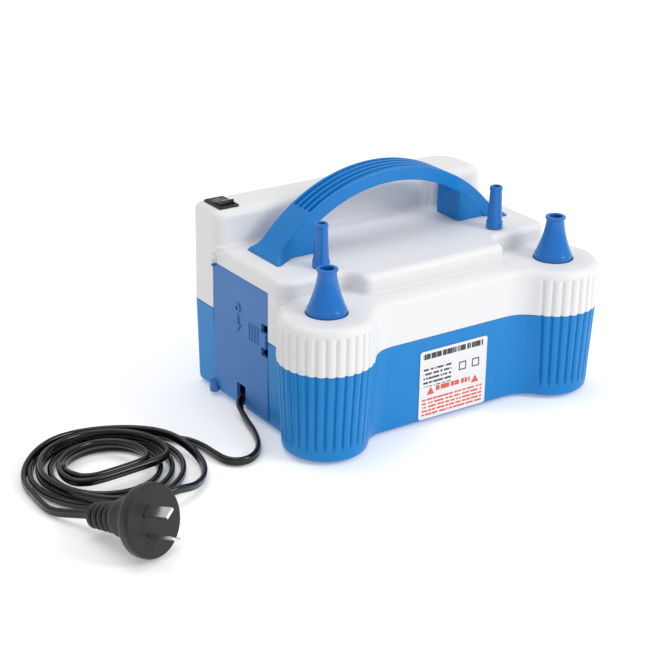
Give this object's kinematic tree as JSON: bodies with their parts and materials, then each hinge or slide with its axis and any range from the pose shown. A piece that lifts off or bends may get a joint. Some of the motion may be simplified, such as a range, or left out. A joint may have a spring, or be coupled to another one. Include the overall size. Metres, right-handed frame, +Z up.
{
  "type": "electric balloon pump",
  "caption": "Mains balloon inflator with press-down air nozzles on ribbed columns, carry handle, cord storage door, rocker switch and a coiled lead with a round plug.",
  "frame": {"origin": "bottom centre of the body's bounding box, on the standing surface, without the cord", "axes": "+X to the right and -Y to the front as the rating label is read, +Z up"},
  "size_m": [0.3655, 0.193, 0.1386],
  "materials": {
    "white_shell": "satin moulded",
    "blue_plastic": "satin moulded",
    "black_plastic": "glossy moulded",
    "grey_plastic": "moulded",
    "cord_pvc": "soft glossy jacket",
    "plug_pvc": "moulded",
    "label_film": "printed film",
    "rubber": "matt",
    "steel": "plain",
    "laminations": "oiled sheet stack",
    "copper": "enamelled copper wire",
    "brass": "plain",
    "fan_metal": "pressed sheet",
    "carbon": "carbon",
    "red_wire": "insulated wire"
  },
  "bodies": {
    "housing": {"air_duct_left": "grey_plastic", "air_duct_right": "grey_plastic", "bottom_shell": "blue_plastic", "brush_yoke": "brass", "carbon_brush_lower": "carbon", "carbon_brush_upper": "carbon", "cord_clamp_bar": "white_shell", "cord_clamp_screw": "steel", "cord_coil": "cord_pvc", "cord_compartment": "blue_plastic", "cord_lead": "cord_pvc", "cord_strain_relief": "cord_pvc", "cord_tail": "cord_pvc", "fan_cover": "grey_plastic", "fan_diffuser": "grey_plastic", "field_coils": "copper", "field_core": "laminations", "front_bearing": "steel", "handle": "blue_plastic", "handle_screw_left": "steel", "handle_screw_right": "steel", "housing_screw_1": "steel", "housing_screw_2": "steel", "housing_screw_3": "steel", "housing_screw_4": "steel", "microswitch_left": "black_plastic", "microswitch_right": "black_plastic", "motor_cradle": "rubber", "motor_housing": "grey_plastic", "plug_body": "plug_pvc", "plug_pin_lower": "brass", "plug_pin_upper": "brass", "rating_label": "label_film", "rear_bearing": "steel", "rocker_switch_frame": "black_plastic", "rubber_foot_1": "rubber", "rubber_foot_2": "rubber", "rubber_foot_3": "rubber", "rubber_foot_4": "rubber", "sleeve_spring_left": "steel", "sleeve_spring_right": "steel", "switch_lead": "red_wire", "top_shell": "white_shell", "valve_body_left": "grey_plastic", "valve_body_right": "grey_plastic"},
    "door": {"storage_door": "blue_plastic"},
    "rocker": {"switch_rocker": "black_plastic"},
    "press_sleeve_left": {"nozzle_sleeve_left": "grey_plastic"},
    "press_sleeve_right": {"nozzle_sleeve_right": "grey_plastic"},
    "blow_nozzle_left": {"nozzle_left": "blue_plastic"},
    "blow_nozzle_right": {"nozzle_right": "blue_plastic"},
    "spare_left": {"spare_nozzle_left": "blue_plastic"},
    "spare_right": {"spare_nozzle_right": "blue_plastic"},
    "lever_left": {"microswitch_lever_left": "steel"},
    "lever_right": {"microswitch_lever_right": "steel"},
    "rotor": {"motor_shaft": "steel", "armature": "laminations", "commutator": "copper", "impeller": "fan_metal"}
  },
  "joints": [
    {"name": "door_hinge", "type": "hinge", "parent": "housing", "child": "door", "pos_m": [-0.0996, 0.049, 0.0456], "axis": [0, 0, -1], "range_deg": [0, 110]},
    {"name": "rocker_tilt", "type": "hinge", "parent": "housing", "child": "rocker", "pos_m": [-0.0872, 0.0596, 0.1163], "axis": [1, 0, 0], "range_deg": [0, 20]},
    {"name": "nozzle_press_left", "type": "slide", "parent": "housing", "child": "press_sleeve_left", "axis": [0, 0, -1], "range_m": [0, 0.004], "stiffness_N_per_m": 400, "springref_m": -0.003, "deforming": ["sleeve_spring_left"]},
    {"name": "nozzle_pull_off_left", "type": "slide", "parent": "press_sleeve_left", "child": "blow_nozzle_left", "axis": [0, 0, 1], "range_m": [0, 0.03]},
    {"name": "switch_lever_left", "type": "hinge", "parent": "housing", "child": "lever_left", "pos_m": [-0.0545, -0.047, 0.0791], "axis": [0, -1, 0], "range_deg": [0, 16.5]},
    {"name": "spare_pull_off_left", "type": "slide", "parent": "housing", "child": "spare_left", "axis": [0, 0, 1], "range_m": [0, 0.016]},
    {"name": "nozzle_press_right", "type": "slide", "parent": "housing", "child": "press_sleeve_right", "axis": [0, 0, -1], "range_m": [0, 0.004], "stiffness_N_per_m": 400, "springref_m": -0.003, "deforming": ["sleeve_spring_right"]},
    {"name": "nozzle_pull_off_right", "type": "slide", "parent": "press_sleeve_right", "child": "blow_nozzle_right", "axis": [0, 0, 1], "range_m": [0, 0.03]},
    {"name": "switch_lever_right", "type": "hinge", "parent": "housing", "child": "lever_right", "pos_m": [0.0545, -0.047, 0.0791], "axis": [0, 1, 0], "range_deg": [0, 16.5]},
    {"name": "spare_pull_off_right", "type": "slide", "parent": "housing", "child": "spare_right", "axis": [0, 0, 1], "range_m": [0, 0.016]},
    {"name": "rotor_spin", "type": "hinge", "parent": "housing", "child": "rotor", "pos_m": [0.018, 0, 0.048], "axis": [0, 1, 0], "continuous": true}
  ],
  "couplings": [
    {"joint": "switch_lever_left", "follows": "nozzle_press_left", "rad_per_m": 69.8},
    {"joint": "switch_lever_right", "follows": "nozzle_press_right", "rad_per_m": 69.8}
  ]
}
